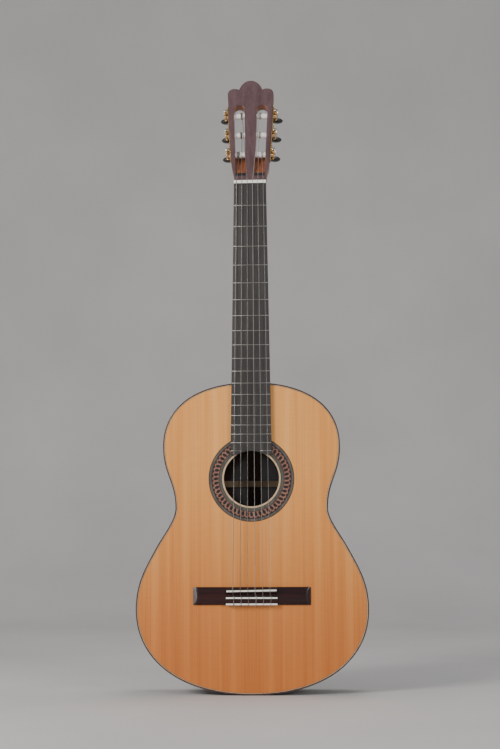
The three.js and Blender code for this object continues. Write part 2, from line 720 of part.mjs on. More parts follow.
function buildTuners() {
  const plate = tunerPlate();
  const shapes = { roller: roller(), gear: gear(), worm_shaft: wormShaft(), button: button() };
  const finishes = { roller: bone, gear: brass, worm_shaft: steel, button: black };
  const sides = [
    { name: "treble", frame: trebleSide, strings: [1, 2, 3] },
    { name: "bass", frame: bassSide, strings: [6, 5, 4] },
  ];
  for (const { name, frame, strings } of sides) {
    add(`tuner_plate_${name}`, plate, brass, frame);
    strings.forEach((string, i) => {
      for (const [piece, shape] of Object.entries(shapes)) {
        const mesh = add(`tuner_${string}_${piece}`, shape, finishes[piece], frame);
        if (piece === "roller") mesh.position.set(0, ROLLER_DEEP, TUNER_HEIGHTS[i]);
        if (piece === "gear") mesh.position.set(WORM_OUT, ROLLER_DEEP, TUNER_HEIGHTS[i]);
        if (piece === "worm_shaft" || piece === "button") {
          mesh.position.set(WORM_OUT, 0, TUNER_HEIGHTS[i] + WORM_RISE);
        }
      }
    });
  }
}

// ---- Strings ----
// A route of straight stretches whose corners are exactly its points.
class Route extends THREE.Curve {
  constructor(points) {
    super();
    this.points = points;
  }
  getUtoTmapping(u) {
    return u;
  }
  getPoint(t, target = v3(0, 0, 0)) {
    return target.copy(this.points[Math.round(t * (this.points.length - 1))]);
  }
  getTangent(t) {
    const i = Math.round(t * (this.points.length - 1));
    const here = this.points[i];
    const before = here.clone().sub(this.points[Math.max(i - 1, 0)]).normalize();
    const after = this.points[Math.min(i + 1, this.points.length - 1)].clone().sub(here).normalize();
    return before.add(after).normalize();
  }
}

const COIL_TURNS = 2.4;
const COIL_STEPS = 8; // per turn
const STRING_SIDES = 5;
const COIL_STARTS = [-13.7, -19.8, -21.9]; // where each string meets its roller, in the side's X

// The coil on a roller: it leaves the straight stretch along its tangent and winds outwards.
function coil(radius, place, frame) {
  const fromNut = v3(0, 0, 0).copy(nutPoint(place.index)).applyMatrix4(frame.matrixWorld.clone().invert());
  const wind = ROLLER_RADIUS + GAP + 0.05 + radius;
  const up = TUNER_HEIGHTS[place.roller] - fromNut.z;
  const deep = ROLLER_DEEP - fromNut.y;
  const start = Math.atan2(deep, up) - Math.asin(wind / Math.hypot(up, deep));
  const steps = Math.round(COIL_TURNS * COIL_STEPS);
  return Array.from({ length: steps + 1 }, (_, i) => {
    const turned = (2 * Math.PI * i) / COIL_STEPS;
    const x = COIL_STARTS[place.roller] + ((2 * radius + 0.4) * turned) / (2 * Math.PI);
    const y = ROLLER_DEEP - wind * Math.cos(start + turned);
    const z = TUNER_HEIGHTS[place.roller] + wind * Math.sin(start + turned);
    return v3(x, y, z).applyMatrix4(frame.matrixWorld);
  });
}

const nutPoint = (index) => v3(nutX(index), STRING_Y_NUT, NUT_Z + 2.6);

function buildStrings() {
  STRING_RADII.forEach((radius, index) => {
    const treble = index < 3;
    const place = { index, roller: treble ? index : 5 - index };
    const x = bridgeX(index);
    const saddleZ = SADDLE_Z - x * Math.tan(SADDLE_SLANT);
    const route = [
      v3(x + 1.9, -57.2, 154.6),
      v3(x + 1.8, -58.4, 153.1),
      v3(x + 1.2, -58.6, 146.5),
      v3(x + 0.6, -58.5, 140),
      v3(x + 0.2, -57.2, 138.3),
      v3(x, -55, 138.2),
      v3(x, STRING_HOLE_Y, 139.4),
      v3(x, STRING_HOLE_Y, 153.2),
      v3(x, -54.8, 154.6),
      v3(x, STRING_Y_SADDLE - 0.05, saddleZ - 2.1),
      v3(x, STRING_Y_SADDLE, saddleZ + 0.9),
      v3(nutX(index), STRING_Y_NUT, NUT_Z - 0.6),
      nutPoint(index),
      ...coil(radius, place, treble ? trebleSide : bassSide),
    ];
    const section = new THREE.Shape(
      Array.from({ length: STRING_SIDES }, (_, i) => {
        const angle = (2 * Math.PI * i) / STRING_SIDES;
        return v2(radius * Math.cos(angle), radius * Math.sin(angle));
      }),
    );
    const string = new THREE.ExtrudeGeometry(section, {
      steps: route.length - 1,
      extrudePath: new Route(route),
    });
    add(`string_${index + 1}`, string, index < 3 ? nylon : woundSilver);
  });
}

buildBody();
buildInside();
buildBridge();
buildNeck();
buildFretboard();
buildTuners();
buildStrings();

export default guitar;
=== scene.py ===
"""Looks of the classical guitar, built round its CAD frame.

Lengths are in millimetres until a mesh is made, and in metres from there on."""

import json
import math

import bmesh
import bpy
from mathutils import Matrix, Vector
from mathutils.geometry import interpolate_bezier


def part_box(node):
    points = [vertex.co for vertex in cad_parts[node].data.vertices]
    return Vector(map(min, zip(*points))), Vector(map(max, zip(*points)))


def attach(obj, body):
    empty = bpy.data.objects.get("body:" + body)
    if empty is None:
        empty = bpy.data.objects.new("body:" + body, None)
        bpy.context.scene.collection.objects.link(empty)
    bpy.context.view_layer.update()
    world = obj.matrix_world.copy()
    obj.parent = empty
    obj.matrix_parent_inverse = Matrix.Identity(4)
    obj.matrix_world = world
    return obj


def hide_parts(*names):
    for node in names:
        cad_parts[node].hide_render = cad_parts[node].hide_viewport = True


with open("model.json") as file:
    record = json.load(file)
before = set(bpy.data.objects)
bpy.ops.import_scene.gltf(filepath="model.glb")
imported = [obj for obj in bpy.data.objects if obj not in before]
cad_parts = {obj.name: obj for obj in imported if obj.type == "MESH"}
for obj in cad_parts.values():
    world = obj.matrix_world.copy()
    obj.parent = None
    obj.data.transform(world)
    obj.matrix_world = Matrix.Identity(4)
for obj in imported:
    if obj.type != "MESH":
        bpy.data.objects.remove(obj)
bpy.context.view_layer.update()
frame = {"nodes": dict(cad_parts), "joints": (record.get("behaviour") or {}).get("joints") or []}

MM = 0.001


def node_box(name):
    """Lowest and highest corner of a CAD node, in millimetres."""
    low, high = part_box(name)
    return Vector(low) / MM, Vector(high) / MM


# ---- Driving dimensions, from the frame ----
FACE = node_box("soundboard")[0].y  # outer face of the soundboard
BACK_FACE = node_box("back")[1].y
BOARD_THICK = 2.5
RIB_THICK = 2.2
BINDING_DEEP = 6
SIDE_LINE = 0.6  # light line between a binding and the ribs
BODY_LENGTH = node_box("binding_top")[1].z
LOWER_HALF = node_box("binding_top")[1].x  # half the lower bout's width
NUT_Z = node_box("nut")[0].z
NUT_HALF = node_box("nut")[1].x
SCALE_LENGTH = 650
JOINT_Z = NUT_Z - SCALE_LENGTH / 2
JOINT_HALF = 31
HEEL_FLAT = 12.5  # half width of the heel's flat back
FINGERBOARD_FACE = FACE - 7
ROSETTE_LOW, ROSETTE_HIGH = node_box("rosette")
HOLE_Z = (ROSETTE_LOW.z + ROSETTE_HIGH.z) / 2
HOLE_RADIUS = 44
BRIDGE_LOW, BRIDGE_HIGH = node_box("bridge")
STRING_RADII = (0.355, 0.41, 0.515, 0.37, 0.445, 0.545)  # thin treble to thick bass
STRING_STEP_BRIDGE = 11.7
STRING_STEP_NUT = 8.6
FRET_COUNT = 19
HEAD_TILT = math.radians(12)
HEAD_THICK = 20
VENEER_THICK = 2.8
HEAD = Matrix.Translation((0, FACE - 2, NUT_Z + 5)) @ Matrix.Rotation(-HEAD_TILT, 4, "X")
ROLLER_RADIUS = 4.75
GEAR_TEETH = 16
WORM_OUT = 5.6
WORM_RISE = 8.6
BUTTON_SQUASH = 0.45  # a button's height as a share of its width
CAMERA_PLACE = (-0.0015, -2.4381, 0.2593)  # in metres, before its orbit
CAMERA_ORBIT = math.radians(3)  # towards the treble side
CAMERA_PITCH = math.radians(5.881)
CAMERA_ROLL = math.radians(0.249)


# ---- Material nodes ----
def srgb(red, green, blue):
    """A colour given in 0 to 255 as the linear colour that shaders take."""
    def linear(value):
        value /= 255
        return value / 12.92 if value <= 0.04045 else ((value + 0.055) / 1.055) ** 2.4

    return (linear(red), linear(green), linear(blue), 1)


def node(tree, kind, inputs=None, **settings):
    made = tree.nodes.new(kind)
    for name, value in settings.items():
        setattr(made, name, value)
    for name, value in (inputs or {}).items():
        if isinstance(value, bpy.types.NodeSocket):
            tree.links.new(value, made.inputs[name])
        else:
            made.inputs[name].default_value = value
    return made


def mix(tree, factor, first, second, mode="MIX"):
    inputs = {0: factor, 6: first, 7: second}
    return node(tree, "ShaderNodeMix", inputs, data_type="RGBA", blend_type=mode).outputs[2]


def ramp(tree, factor, stops):
    made = node(tree, "ShaderNodeValToRGB", {"Fac": factor})
    elements = made.color_ramp.elements
    while len(elements) < len(stops):
        elements.new(0.5)
    for element, (place, colour) in zip(elements, stops):
        element.position = place
        element.color = colour
    return made.outputs["Color"]


def noise(tree, coordinates, scale, detail=4, roughness=0.55, distortion=0):
    """Noise on coordinates stretched by a scale for each axis, in cells per metre."""
    stretched = node(tree, "ShaderNodeMapping", {"Vector": coordinates, "Scale": scale})
    inputs = {
        "Vector": stretched.outputs[0],
        "Scale": 1,
        "Detail": detail,
        "Roughness": roughness,
        "Distortion": distortion,
    }
    return node(tree, "ShaderNodeTexNoise", inputs).outputs["Fac"]


def blank_material(name, **sockets):
    made = bpy.data.materials.new(name)
    made.use_nodes = True
    shader = made.node_tree.nodes["Principled BSDF"]
    for socket, value in sockets.items():
        shader.inputs[socket.replace("_", " ")].default_value = value
    return made, made.node_tree, shader


def object_coordinates(tree, mirrored=False):
    place = node(tree, "ShaderNodeTexCoord").outputs["Object"]
    if mirrored:
        place = node(tree, "ShaderNodeVectorMath", {0: place}, operation="ABSOLUTE").outputs[0]
    return place


def add_bump(tree, shader, height, strength, distance=0.0002):
    inputs = {"Height": height, "Strength": strength, "Distance": distance}
    bump = node(tree, "ShaderNodeBump", inputs)
    tree.links.new(bump.outputs[0], shader.inputs["Normal"])


def wood(name, colours, band, line, gloss, mirrored=False, bump=0.15, along="Z", **sockets):
    """Wood with broad bands and fine lines along its grain. Band and line are widths in millimetres."""
    coat, roughness = gloss
    made, tree, shader = blank_material(
        name, Roughness=roughness, Coat_Weight=coat, Coat_Roughness=0.09, **sockets
    )
    place = object_coordinates(tree, mirrored)

    def stretch(width, long):
        scale = [1000 / width] * 3
        scale["XYZ".index(along)] = 1000 / long
        return scale

    bands = noise(tree, place, stretch(band, band * 14), 5, 0.6, 0.6)
    lines = noise(tree, place, stretch(line, line * 60), 3, 0.6, 0.2)
    dark, middle, light = (srgb(*colour) for colour in colours)
    base = ramp(tree, bands, [(0.3, dark), (0.5, middle), (0.7, light)])
    shade = ramp(tree, lines, [(0.35, (0.62, 0.58, 0.56, 1)), (0.6, (1, 1, 1, 1))])
    colour = mix(tree, 0.55, base, shade, "MULTIPLY")
    tree.links.new(colour, shader.inputs["Base Color"])
    add_bump(tree, shader, lines, bump)
    return made


def soundboard_wood():
    made, tree, shader = blank_material(
        "soundboard_wood", Roughness=0.4, Coat_Weight=0.35, Coat_Roughness=0.12
    )
    place = object_coordinates(tree, mirrored=True)
    broad = noise(tree, place, (55, 1, 1.1), 4, 0.6, 0.3)
    rings = noise(tree, place, (620, 1, 2.2), 2, 0.5, 0.1)
    streaks = noise(tree, place, (170, 1, 1.4), 3, 0.6, 0.2)
    silk = noise(tree, place, (40, 1, 420), 3, 0.5)
    places = (0.3, 0.5, 0.7)
    upper_tones = (srgb(228, 150, 68), srgb(238, 164, 82), srgb(243, 176, 98))
    lower_tones = (srgb(186, 102, 32), srgb(198, 114, 42), srgb(208, 126, 54))
    upper = ramp(tree, broad, list(zip(places, upper_tones)))
    lower = ramp(tree, broad, list(zip(places, lower_tones)))
    height = node(tree, "ShaderNodeSeparateXYZ", {0: place}).outputs["Z"]
    limits = {"Value": height, "From Min": 0.02, "From Max": 0.42}
    rise = node(tree, "ShaderNodeMapRange", limits, interpolation_type="SMOOTHSTEP").outputs[0]
    colour = mix(tree, rise, lower, upper)
    ring_shade = ramp(tree, rings, [(0.36, (0.84, 0.77, 0.68, 1)), (0.55, (1, 1, 1, 1))])
    colour = mix(tree, 0.5, colour, ring_shade, "MULTIPLY")
    streak_shade = ramp(tree, streaks, [(0.35, (0.9, 0.85, 0.8, 1)), (0.65, (1, 1, 1, 1))])
    colour = mix(tree, 0.6, colour, streak_shade, "MULTIPLY")
    silk_shade = ramp(tree, silk, [(0.4, (0.95, 0.93, 0.9, 1)), (0.6, (1, 1, 1, 1))])
    colour = mix(tree, 0.5, colour, silk_shade, "MULTIPLY")
    tree.links.new(colour, shader.inputs["Base Color"])
    add_bump(tree, shader, rings, 0.08)
    return made


def speckled(name, colour, spread, gloss, scale=300, bump=0.05, **sockets):
    """Bone, plastic or metal: a colour with a little drift in tone and roughness."""
    coat, roughness = gloss
    made, tree, shader = blank_material(name, Coat_Weight=coat, Coat_Roughness=0.08, **sockets)
    place = object_coordinates(tree)
    drift = noise(tree, place, (scale, scale, scale * 0.4), 5, 0.6)
    low = [max(channel - spread, 0) for channel in colour]
    high = [min(channel + spread, 255) for channel in colour]
    tone = ramp(tree, drift, [(0.3, srgb(*low)), (0.7, srgb(*high))])
    tree.links.new(tone, shader.inputs["Base Color"])
    limits = {"Value": drift, "To Min": roughness * 0.8, "To Max": roughness * 1.25}
    rough = node(tree, "ShaderNodeMapRange", limits).outputs[0]
    tree.links.new(rough, shader.inputs["Roughness"])
    fine = noise(tree, place, (scale * 4,) * 3, 3)
    add_bump(tree, shader, fine, bump, 0.00005)
    return made


def wound_metal():
    """Silver winding on a bass string: close turns across its length, with painted shade in the grooves
    between the turns.
    """
    made, tree, shader = blank_material("wound_string", Metallic=0.85)
    place = object_coordinates(tree)
    inputs = {"Vector": place, "Scale": 1700, "Distortion": 0.4, "Detail": 1}
    turns = node(tree, "ShaderNodeTexWave", inputs, bands_direction="Z").outputs["Fac"]
    # The tone darkens where the wave dips, in the grooves between turns: painted shade.
    tone = ramp(tree, turns, [(0, srgb(84, 80, 74)), (0.6, srgb(150, 145, 136))])
    tree.links.new(tone, shader.inputs["Base Color"])
    limits = {"Value": turns, "To Min": 0.45, "To Max": 0.28}
    rough = node(tree, "ShaderNodeMapRange", limits).outputs[0]
    tree.links.new(rough, shader.inputs["Roughness"])
    add_bump(tree, shader, turns, 0.6, 0.0001)
    return made


GLOSSY, SATIN = (0.6, 0.3), (0.2, 0.38)
STUFF = {
    "top": soundboard_wood(),
    "rosewood": wood("rosewood", ((34, 17, 14), (62, 33, 27), (92, 54, 42)), 9, 0.8, GLOSSY, mirrored=True),
    "binding": wood("binding_wood", ((44, 26, 24), (66, 43, 39), (86, 60, 54)), 7, 0.9, GLOSSY),
    "bridge": wood(
        "bridge_wood",
        ((24, 5, 6), (40, 10, 10), (58, 17, 15)),
        6,
        0.8,
        (0.15, 0.28),
        along="X",
        Specular_IOR_Level=0.35,
    ),
    "ebony": wood("ebony", ((44, 41, 40), (56, 53, 51), (68, 64, 62)), 7, 0.7, (0.1, 0.42)),
    "head": wood("head_veneer_wood", ((80, 56, 58), (92, 67, 69), (104, 78, 80)), 9, 0.9, (0.5, 0.3)),
    "cedar": wood("neck_cedar", ((122, 62, 30), (150, 82, 42), (176, 104, 58)), 9, 0.8, SATIN),
    "back_strip": wood("back_strip_cedar", ((44, 22, 14), (58, 30, 20), (72, 40, 27)), 8, 1.0, (0, 0.7)),
    "bare_spruce": wood("bare_spruce", ((136, 112, 84), (158, 134, 104), (176, 152, 122)), 8, 1.0, (0, 0.7)),
    "cream": wood("cream_wood", ((188, 158, 120), (206, 178, 140), (222, 196, 160)), 5, 0.7, GLOSSY),
    "green": wood("grey_green_wood", ((62, 60, 50), (82, 78, 68), (100, 96, 84)), 4, 0.6, GLOSSY),
    "grey": wood("grey_brown_wood", ((68, 62, 56), (88, 81, 74), (108, 99, 90)), 4, 0.6, GLOSSY),
    "pink": wood("pink_cream_wood", ((112, 72, 58), (142, 98, 80), (168, 122, 102)), 3, 0.6, GLOSSY),
    "black_wood": wood("black_dyed_wood", ((14, 8, 9), (26, 15, 16), (42, 24, 24)), 3, 0.6, GLOSSY),
    "bone": speckled("bone", (246, 241, 230), 7, (0.35, 0.32), 260),
    "roller": speckled("roller_white", (248, 245, 240), 5, (0.3, 0.3), 400),
    "nylon": speckled("nylon", (150, 147, 138), 7, (0.2, 0.3), 500, Alpha=0.5),
    "wound": wound_metal(),
    "brass": speckled("brass", (212, 170, 112), 14, (0, 0.26), 350, Metallic=1.0),
    "nickel": speckled("nickel", (196, 192, 184), 12, (0, 0.22), 350, Metallic=1.0),
    "fret_wire": speckled("fret_wire", (150, 147, 142), 10, (0, 0.36), 350, Metallic=1.0),
    "black": speckled("button_black", (22, 20, 20), 6, (0.6, 0.2), 300),
}


# ---- Mesh building ----
def shade(mesh, sharp_degrees=32):
    """Faces outwards, smooth shading, and sharp edges where the surface turns by more than an angle."""
    body = bmesh.new()
    body.from_mesh(mesh)
    bmesh.ops.remove_doubles(body, verts=body.verts, dist=2e-7)
    bmesh.ops.recalc_face_normals(body, faces=body.faces)
    for face in body.faces:
        face.smooth = True
    for edge in body.edges:
        turn = edge.calc_face_angle(0) if len(edge.link_faces) == 2 else 0
        edge.smooth = turn < math.radians(sharp_degrees)
    body.to_mesh(mesh)
    body.free()


def piece(name, mesh, stuff, body="root", replaces=(), sharp=32):
    """Adds a mesh, whose places are in metres, as a visible piece that rides on a body."""
    shade(mesh, sharp)
    mesh.materials.clear()
    mesh.materials.append(STUFF[stuff])
    made = bpy.data.objects.new(name, mesh)
    bpy.context.scene.collection.objects.link(made)
    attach(made, body)
    if replaces:
        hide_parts(*replaces)
    return made


def to_metres(points, matrix=Matrix()):
    return [(matrix @ Vector(point)) * MM for point in points]


def mesh_of(points, faces, matrix=Matrix()):
    mesh = bpy.data.meshes.new("mesh")
    mesh.from_pydata([tuple(point) for point in to_metres(points, matrix)], [], faces)
    return mesh


def plate_mesh(loops, front, back, bevel=0.0, matrix=Matrix(), segments=2):
    """A slab between two depths. Loops are closed outlines in X and Z; a loop inside another is a hole."""
    curve = bpy.data.curves.new("outline", "CURVE")
    curve.dimensions = "2D"
    curve.fill_mode = "BOTH"
    curve.extrude = (back - front) / 2 - bevel
    curve.bevel_depth = bevel
    curve.bevel_resolution = segments
    curve.offset = -bevel
    for loop in loops:
        spline = curve.splines.new("POLY")
        spline.points.add(len(loop) - 1)
        spline.use_cyclic_u = True
        for point, (x, z) in zip(spline.points, loop):
            point.co = (x, z, 0, 1)
    made = bpy.data.objects.new("outline", curve)
    bpy.context.scene.collection.objects.link(made)
    bpy.context.view_layer.update()
    mesh = bpy.data.meshes.new_from_object(made.evaluated_get(bpy.context.evaluated_depsgraph_get()))
    bpy.data.objects.remove(made)
    stand_up = Matrix.Translation((0, (front + back) / 2, 0)) @ Matrix.Rotation(math.pi / 2, 4, "X")
    mesh.transform(Matrix.Scale(MM, 4) @ matrix @ stand_up)
    return mesh


def loft_mesh(rings, matrix=Matrix(), closed=False):
    """A surface through rings of equally many points, with its two ends closed unless it is a loop."""
    count = len(rings[0])
    points = [point for ring in rings for point in ring]
    faces = []
    pairs = len(rings) if closed else len(rings) - 1
    for i in range(pairs):
        here, there = i * count, ((i + 1) % len(rings)) * count
        for j in range(count):
            k = (j + 1) % count
            faces.append((here + j, here + k, there + k, there + j))
    if not closed:
        faces.append(tuple(range(count)))
        faces.append(tuple(range(len(points) - count, len(points))))
    return mesh_of(points, faces, matrix)


def tube_mesh(route, radius, sides=12, matrix=Matrix()):
    """A round tube along a route, with its ends closed and a little rounded."""
    points = [Vector(point) for point in route]
    rings = []
    side = None
    for i, point in enumerate(points):
        before = (point - points[i - 1]).normalized() if i else Vector()
        after = (points[i + 1] - point).normalized() if i + 1 < len(points) else Vector()
        along = (before + after).normalized()
        if side is None:
            side = along.orthogonal()
        side = (side - along * side.dot(along)).normalized()
        other = along.cross(side)
        size = radius * (0.7 if i in (0, len(points) - 1) else 1)
        turns = [2 * math.pi * j / sides for j in range(sides)]
        rings.append([point + (side * math.cos(t) + other * math.sin(t)) * size for t in turns])
    return loft_mesh(rings, matrix)


def lathe_mesh(profile, matrix=Matrix(), sides=32, squash=1.0):
    """A turned piece about the frame's X axis. The profile is (place along X, radius), from end to end."""
    rings = []
    for place, radius in profile:
        reach = max(radius, 0.02)  # an end keeps a tiny face, so that no point is doubled
        ring = []
        for j in range(sides):
            turn = 2 * math.pi * j / sides
            ring.append((place, reach * math.cos(turn), reach * math.sin(turn) * squash))
        rings.append(ring)
    return loft_mesh(rings, matrix)


def box_mesh(low, high, bevel=0.0, matrix=Matrix(), segments=3):
    body = bmesh.new()
    bmesh.ops.create_cube(body, size=1)
    for corner in body.verts:
        corner.co = [a if c < 0 else b for a, b, c in zip(low, high, corner.co)]
    if bevel:
        edges = body.edges[:]
        bmesh.ops.bevel(body, geom=edges, offset=bevel, segments=segments, profile=0.5, affect="EDGES")
    mesh = bpy.data.meshes.new("box")
    body.to_mesh(mesh)
    body.free()
    mesh.transform(Matrix.Scale(MM, 4) @ matrix)
    return mesh


def joined(*meshes):
    """Several meshes as one."""
    body = bmesh.new()
    for mesh in meshes:
        body.from_mesh(mesh)
    bmesh.ops.remove_doubles(body, verts=body.verts, dist=2e-7)
    bmesh.ops.recalc_face_normals(body, faces=body.faces)
    made = bpy.data.meshes.new("joined")
    body.to_mesh(made)
    body.free()
    return made


def cut(mesh, *tools):
    """A mesh with the tools' space taken out of it."""
    base = bpy.data.objects.new("base", joined(mesh))
    bpy.context.scene.collection.objects.link(base)
    tool = bpy.data.objects.new("tool", joined(*tools))
    bpy.context.scene.collection.objects.link(tool)
    modifier = base.modifiers.new("cut", "BOOLEAN")
    modifier.operation = "DIFFERENCE"
    modifier.solver = "EXACT"
    modifier.use_self = True
    modifier.object = tool
    bpy.context.view_layer.update()
    made = bpy.data.meshes.new_from_object(base.evaluated_get(bpy.context.evaluated_depsgraph_get()))
    bpy.data.objects.remove(base)
    bpy.data.objects.remove(tool)
    return made


def circle(radius, x=0.0, z=0.0, count=128):
    turns = [2 * math.pi * i / count for i in range(count)]
    return [(x + radius * math.cos(t), z + radius * math.sin(t)) for t in turns]


def ellipse(across, up, turn, x, z, count=14):
    """An ellipse with its half axes, turned about its centre."""
    cosine, sine = math.cos(turn), math.sin(turn)
    loop = []
    for i in range(count):
        t = 2 * math.pi * i / count
        a, b = across * math.cos(t), up * math.sin(t)
        loop.append((x + a * cosine - b * sine, z + a * sine + b * cosine))
    return loop


# ---- Body ----
# Right half of the outline as Bezier stretches, from the tail by the lower bout and waist to the neck.
HALF_OUTLINE = [
    ((0, 0), (122, 0), (LOWER_HALF, 60), (LOWER_HALF, 133)),
    ((LOWER_HALF, 133), (LOWER_HALF, 173), (171.5, 195), (152.8, 229)),
    ((152.8, 229), (139.4, 253.6), (121.3, 274), (121.3, 293)),
    ((121.3, 293), (121.3, 335), (141.4, 347), (141.4, 391)),
    ((141.4, 391), (141.4, 456), (87, BODY_LENGTH), (0, BODY_LENGTH)),
]
CURVE_STEPS = 26


def half_outline(inset):
    """The outline's right half from tail to neck, moved inwards."""
    points = []
    for stretch in HALF_OUTLINE:
        run = interpolate_bezier(*[Vector(p) for p in stretch], CURVE_STEPS + 1)
        points += run[:-1] if stretch is not HALF_OUTLINE[-1] else run
    moved = []
    for i, point in enumerate(points):
        along = points[min(i + 1, len(points) - 1)] - points[max(i - 1, 0)]
        if i in (0, len(points) - 1):
            along = Vector((1, 0)) if i == 0 else Vector((-1, 0))
        normal = Vector((-along.y, along.x)).normalized()
        moved.append((point.x + normal.x * inset, point.y + normal.y * inset))
    return moved


def mirrored(half):
    return half + [(-x, z) for x, z in reversed(half) if x > 1e-6]


def body_loop(inset):
    return mirrored(half_outline(inset))


def half_ring(inner, start_x, end_x, side):
    """One rib's outline: the strip inside the outer outline, cut off near the centre plane."""
    outer = [p for p in half_outline(0) if p[0] >= (start_x if p[1] < 100 else end_x)]
    inside = [p for p in half_outline(inner) if p[0] >= (start_x if p[1] < 100 else end_x)]
    loop = outer + inside[::-1]
    return [(side * x, z) for x, z in loop]


def build_body():
    board = [body_loop(3.4), circle(68.3, 0, HOLE_Z, 192)]
    mesh = plate_mesh(board, FACE, FACE + BOARD_THICK)
    piece("soundboard_top", mesh, "top", replaces=["soundboard"])
    purfling = {"cream": (2.25, 2.95), "black_wood": (2.95, 3.35)}
    for stuff, (outer, inner) in purfling.items():
        mesh = plate_mesh([body_loop(outer), body_loop(inner)], FACE - 0.01, FACE + BOARD_THICK)
        piece(f"purfling_{stuff}", mesh, stuff)
    depths = {"top": (FACE - 0.02, FACE + BINDING_DEEP), "back": (BACK_FACE - BINDING_DEEP, BACK_FACE)}
    for place, (front, back) in depths.items():
        line_front = front + BINDING_DEEP if place == "top" else front - SIDE_LINE
        mesh = plate_mesh([body_loop(0), body_loop(RIB_THICK)], front, back, 0.45)
        piece(f"edge_binding_{place}", mesh, "binding", replaces=[f"binding_{place}"])
        mesh = plate_mesh([body_loop(-0.02), body_loop(RIB_THICK)], line_front, line_front + SIDE_LINE)
        piece(f"side_line_{place}", mesh, "cream")
    rib_front, rib_back = FACE + BINDING_DEEP + SIDE_LINE, BACK_FACE - BINDING_DEEP - SIDE_LINE
    for name, side in (("treble", 1), ("bass", -1)):
        mesh = plate_mesh([half_ring(RIB_THICK, 5, 9, side)], rib_front, rib_back)
        piece(f"side_{name}", mesh, "rosewood", replaces=[f"rib_{name}"], sharp=50)
    tail = [(-5, 0.03), (5, 0.03), (5, 2.1), (-5, 2.1)]
    mesh = plate_mesh([tail], rib_front, rib_back)
    piece("tail_strip", mesh, "binding", replaces=["tail_inlay"])
    mesh = plate_mesh([body_loop(3.0)], BACK_FACE - 2.8, BACK_FACE)
    piece("back_plate", mesh, "rosewood", replaces=["back"])
    mesh = plate_mesh([body_loop(2.25), body_loop(2.95)], BACK_FACE - 2.8, BACK_FACE + 0.01)
    piece("back_purfling", mesh, "cream")
    mesh = box_mesh((-1.6, BACK_FACE - 1, 3.1), (1.6, BACK_FACE + 0.02, BODY_LENGTH - 3.1))
    piece("back_joint_line", mesh, "cream")


def build_rosette():
    """Rings of dyed wood round a mosaic band of slanted leaves and a twisted rope."""
    rings = [
        ("cream_ring", "cream", 44.0, 46.6),
        ("inner_line", "black_wood", 46.6, 47.1),
        ("green_ring", "green", 47.1, 51.6),
        ("green_line", "black_wood", 51.6, 52.5),
        ("mosaic_ground", "pink", 52.5, 62.2),
        ("mosaic_line", "black_wood", 62.2, 63.7),
        ("outer_ring", "grey", 63.7, 67.3),
        ("outer_edge", "black_wood", 67.3, 68.2),
    ]
    for name, stuff, inner, outer in rings:
        loops = [circle(outer, 0, HOLE_Z, 192), circle(inner, 0, HOLE_Z, 192)]
        mesh = plate_mesh(loops, FACE - 0.01, FACE + BOARD_THICK)
        replaced = ["rosette"] if name == "mosaic_ground" else ()
        piece(f"rosette_{name}", mesh, stuff, replaces=replaced)
    motifs = 52
    leaves, points = [], []
    for i in range(motifs):
        for loops, share, radius, size, slant in (
            (leaves, 0, 56.5, (3.9, 2.3), 0.22),
            (points, 0.4, 61.7, (1.2, 1.9), 0.2),
        ):
            turn = 2 * math.pi * (i + share) / motifs
            x, z = radius * math.cos(turn), HOLE_Z + radius * math.sin(turn)
            loops.append(ellipse(*size, turn + slant, x, z))
    for name, loops in (("leaves", leaves), ("points", points)):
        mesh = plate_mesh(loops, FACE - 0.03, FACE + 0.4)
        piece(f"rosette_{name}", mesh, "black_wood")


# ---- Bridge ----
BLOCK_HALF = 40.5
TIE_TOP = FACE - 8.4
TIE_FRONT_Z = BRIDGE_LOW.z + 12.3
STRING_HOLE_Y = FACE - 6


def bridge_wings():
    """The bridge's base: arched from front to back, with a sloping facet at each end."""
    columns, rows = 96, 20
    half = BRIDGE_HIGH.x
    middle = (BRIDGE_LOW.z + BRIDGE_HIGH.z) / 2
    deep = (BRIDGE_HIGH.z - BRIDGE_LOW.z) / 2
    rings = []
    for i in range(columns + 1):
        x = -half + 2 * half * i / columns
        top = []
        for j in range(rows + 1):
            z = middle - deep + 2 * deep * j / rows
            arch = 1.6 + 3.3 * math.sqrt(max(1 - ((z - middle) / (deep * 1.02)) ** 2, 0))
            facet = 0.9 + (half - abs(x)) * 0.55
            top.append((x, FACE - min(arch, facet), z))
        rings.append([(x, FACE + 0.02, BRIDGE_LOW.z)] + top + [(x, FACE + 0.02, BRIDGE_HIGH.z)])
    return loft_mesh(rings)


def side_prism(profile, left, right, bevel=0.0):
    """A side view, as (Y, Z) points, made into a bar from one X to another."""
    turned = Matrix(((0, 1, 0, 0), (1, 0, 0, 0), (0, 0, 1, 0), (0, 0, 0, 1)))
    mesh = plate_mesh([profile], left, right, bevel, turned)
    return mesh


def bridge_x(index):
    return STRING_STEP_BRIDGE * (2.5 - index)


